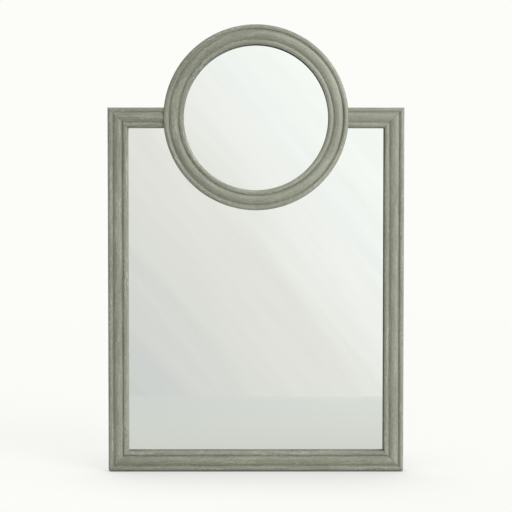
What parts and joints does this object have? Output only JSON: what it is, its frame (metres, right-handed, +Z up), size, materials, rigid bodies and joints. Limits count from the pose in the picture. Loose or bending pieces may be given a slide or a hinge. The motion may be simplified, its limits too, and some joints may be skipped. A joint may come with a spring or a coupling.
{
  "type": "framed mirror",
  "caption": "Tall rectangular mirror in a moulded painted wood frame, with a round mirror in a ring frame of the same moulding set into the middle of its top rail.",
  "frame": {"origin": "on the floor, in the middle of the mirror's width and depth", "axes": "+X to the right seen from the front, +Y to the back and the wall, +Z up"},
  "size_m": [0.914, 0.054, 1.3805],
  "materials": {
    "grey_green_paint": "satin grey-green wash on wood, streaked along the grain, darker in the grooves",
    "beech": "bare beech",
    "silvered_glass": "silvered float glass",
    "foam": "closed-cell foam tape",
    "setting_rubber": "matt black rubber",
    "hardboard": "smooth brown hardboard",
    "zinc_plated_steel": "bright zinc plating",
    "screw_steel": "passivated zinc plating",
    "felt": "dense dark felt",
    "bumper_rubber": "matt black rubber"
  },
  "bodies": {
    "frame": {"left_stile": "grey_green_paint", "right_stile": "grey_green_paint", "bottom_rail": "grey_green_paint", "top_rail_left": "grey_green_paint", "top_rail_right": "grey_green_paint", "ring_segment_right": "grey_green_paint", "ring_segment_upper_right": "grey_green_paint", "ring_segment_upper_left": "grey_green_paint", "ring_segment_left": "grey_green_paint", "ring_segment_lower_left": "grey_green_paint", "ring_segment_lower_right": "grey_green_paint", "mitre_splines": "beech", "ring_splines": "beech", "ring_dowels": "beech", "rect_mirror_glass": "silvered_glass", "round_mirror_glass": "silvered_glass", "rect_foam_tape": "foam", "round_foam_tape": "foam", "rect_setting_blocks": "setting_rubber", "round_setting_blocks": "setting_rubber", "rect_backing_board": "hardboard", "round_backing_board": "hardboard", "corner_brace_lower_left": "zinc_plated_steel", "corner_brace_lower_right": "zinc_plated_steel", "corner_brace_upper_right": "zinc_plated_steel", "corner_brace_upper_left": "zinc_plated_steel", "joint_plate_left": "zinc_plated_steel", "joint_plate_right": "zinc_plated_steel", "hanger_strap_left": "zinc_plated_steel", "hanger_strap_right": "zinc_plated_steel", "rect_board_screws": "screw_steel", "round_board_screws": "screw_steel", "corner_brace_screws": "screw_steel", "joint_plate_screws": "screw_steel", "hanger_screws": "screw_steel", "floor_glides": "felt", "wall_bumpers": "bumper_rubber"},
    "ring_left": {"hanger_ring_left": "zinc_plated_steel"},
    "ring_right": {"hanger_ring_right": "zinc_plated_steel"}
  },
  "joints": [
    {"name": "hanger_left_swing", "type": "hinge", "parent": "frame", "child": "ring_left", "pos_m": [-0.437, 0.0208, 0.8465], "axis": [1, 0, 0], "range_deg": [0, 180]},
    {"name": "hanger_right_swing", "type": "hinge", "parent": "frame", "child": "ring_right", "pos_m": [0.437, 0.0208, 0.8465], "axis": [1, 0, 0], "range_deg": [0, 180]}
  ]
}
